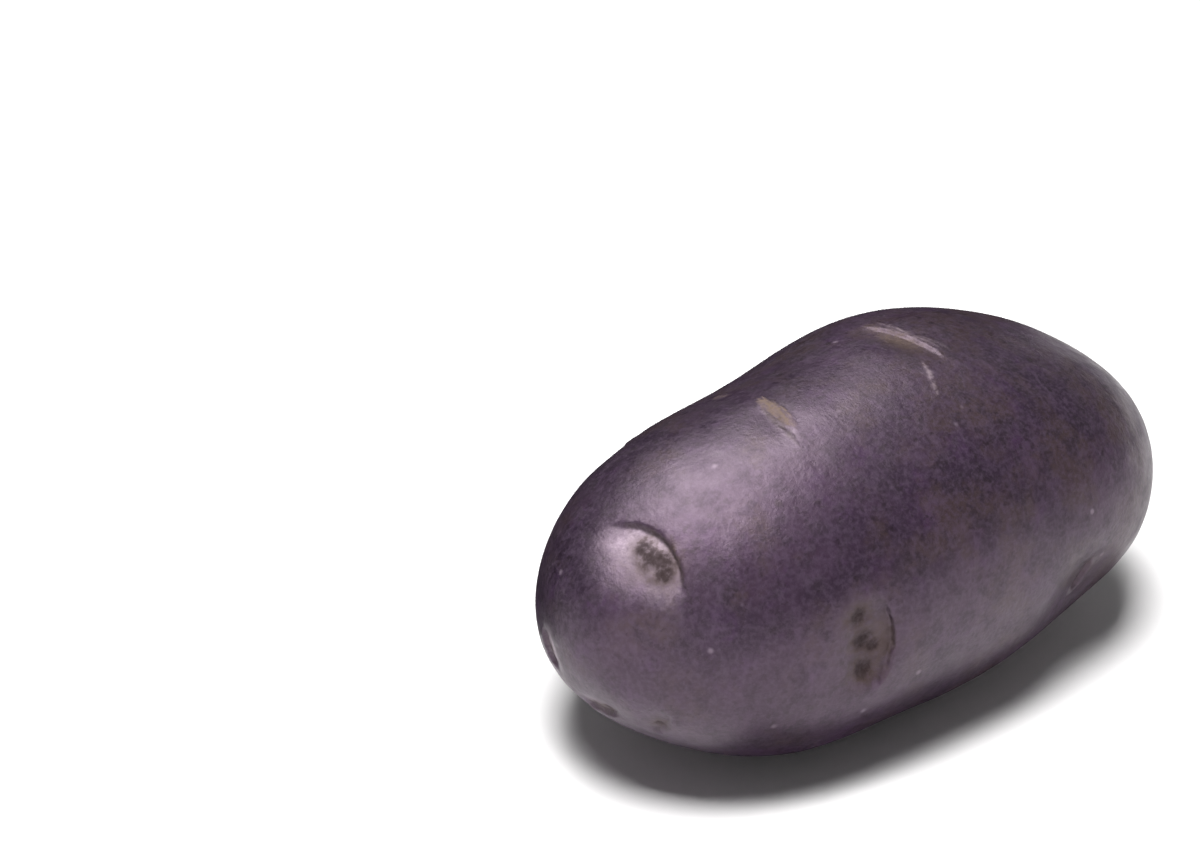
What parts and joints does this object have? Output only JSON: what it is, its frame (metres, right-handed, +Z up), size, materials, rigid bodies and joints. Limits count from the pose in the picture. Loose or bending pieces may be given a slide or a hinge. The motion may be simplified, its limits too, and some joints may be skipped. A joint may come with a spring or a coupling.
{
  "type": "seed potato",
  "caption": "Whole long-oval purple-skinned seed potato with shallow browed eyes and a corky stem scar, lying on its flattened underside.",
  "frame": {"origin": "on the surface the tuber rests on, under the middle of its outline in X and Y", "axes": "+X runs along the length from the rose end (crowded eyes) to the stem end (stolon scar), +Z is up, +Y runs across the width"},
  "size_m": [0.0838, 0.0482, 0.043],
  "materials": {
    "tuber_skin": "thin corky skin with a satin sheen, deep purple with brown patches"
  },
  "bodies": {
    "root": {"tuber": "tuber_skin"}
  },
  "joints": []
}
